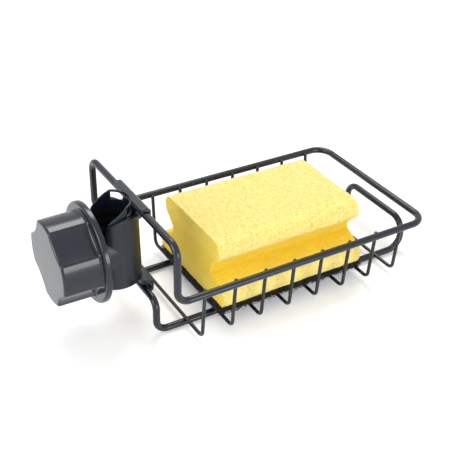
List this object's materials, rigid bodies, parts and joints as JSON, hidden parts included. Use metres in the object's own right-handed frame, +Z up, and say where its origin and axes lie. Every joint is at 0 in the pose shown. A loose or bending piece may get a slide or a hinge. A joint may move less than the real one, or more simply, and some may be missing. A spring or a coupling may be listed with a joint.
{
  "type": "sponge holder",
  "caption": "Wire basket for a sponge that hangs on a C-shaped clamp for a tap's neck, tightened by a fluted screw knob.",
  "frame": {"origin": "on the axis of the tap's neck, at the height of the knob's axis", "axes": "+X along the basket, away from the knob; +Y across it; +Z up along the tap's neck"},
  "size_m": [0.2156, 0.104, 0.0731],
  "materials": {
    "black_plastic": "semi-gloss anthracite",
    "black_rubber": "matt",
    "spring_steel": "plain",
    "coated_wire": "glossy anthracite coating",
    "yellow_foam": "open-pored foam",
    "scouring_fibre": "coarse fibre"
  },
  "bodies": {
    "clamp": {"clamp_body": "black_plastic", "grip_liner": "black_rubber"},
    "presser": {"pressure_plate": "black_plastic", "pressure_pad": "black_rubber", "swivel_clip": "spring_steel"},
    "knob": {"knob": "black_plastic"},
    "basket": {"rim_wire": "coated_wire", "lower_frame_wire": "coated_wire", "cross_wire_1": "coated_wire", "cross_wire_2": "coated_wire", "cross_wire_3": "coated_wire", "cross_wire_4": "coated_wire", "cross_wire_5": "coated_wire", "cross_wire_6": "coated_wire", "cross_wire_7": "coated_wire", "cross_wire_8": "coated_wire"},
    "sponge": {"sponge_foam": "yellow_foam", "scouring_pad": "scouring_fibre"}
  },
  "joints": [
    {"name": "pad_travel", "type": "slide", "parent": "clamp", "child": "presser", "axis": [1, 0, 0], "range_m": [-0.008, 0.0032]},
    {"name": "knob_turn", "type": "hinge", "parent": "presser", "child": "knob", "pos_m": [-0.02, 0, 0], "axis": [1, 0, 0], "range_deg": [-720, 288]},
    {"name": "basket_unhook", "type": "slide", "parent": "clamp", "child": "basket", "axis": [-1, 0, 0], "range_m": [0, 0.005]},
    {"name": "sponge_lift", "type": "slide", "parent": "basket", "child": "sponge", "axis": [0, 0, 1], "range_m": [0, 0.06]}
  ],
  "couplings": [
    {"joint": "pad_travel", "follows": "knob_turn", "m_per_rad": 0.0006366}
  ]
}
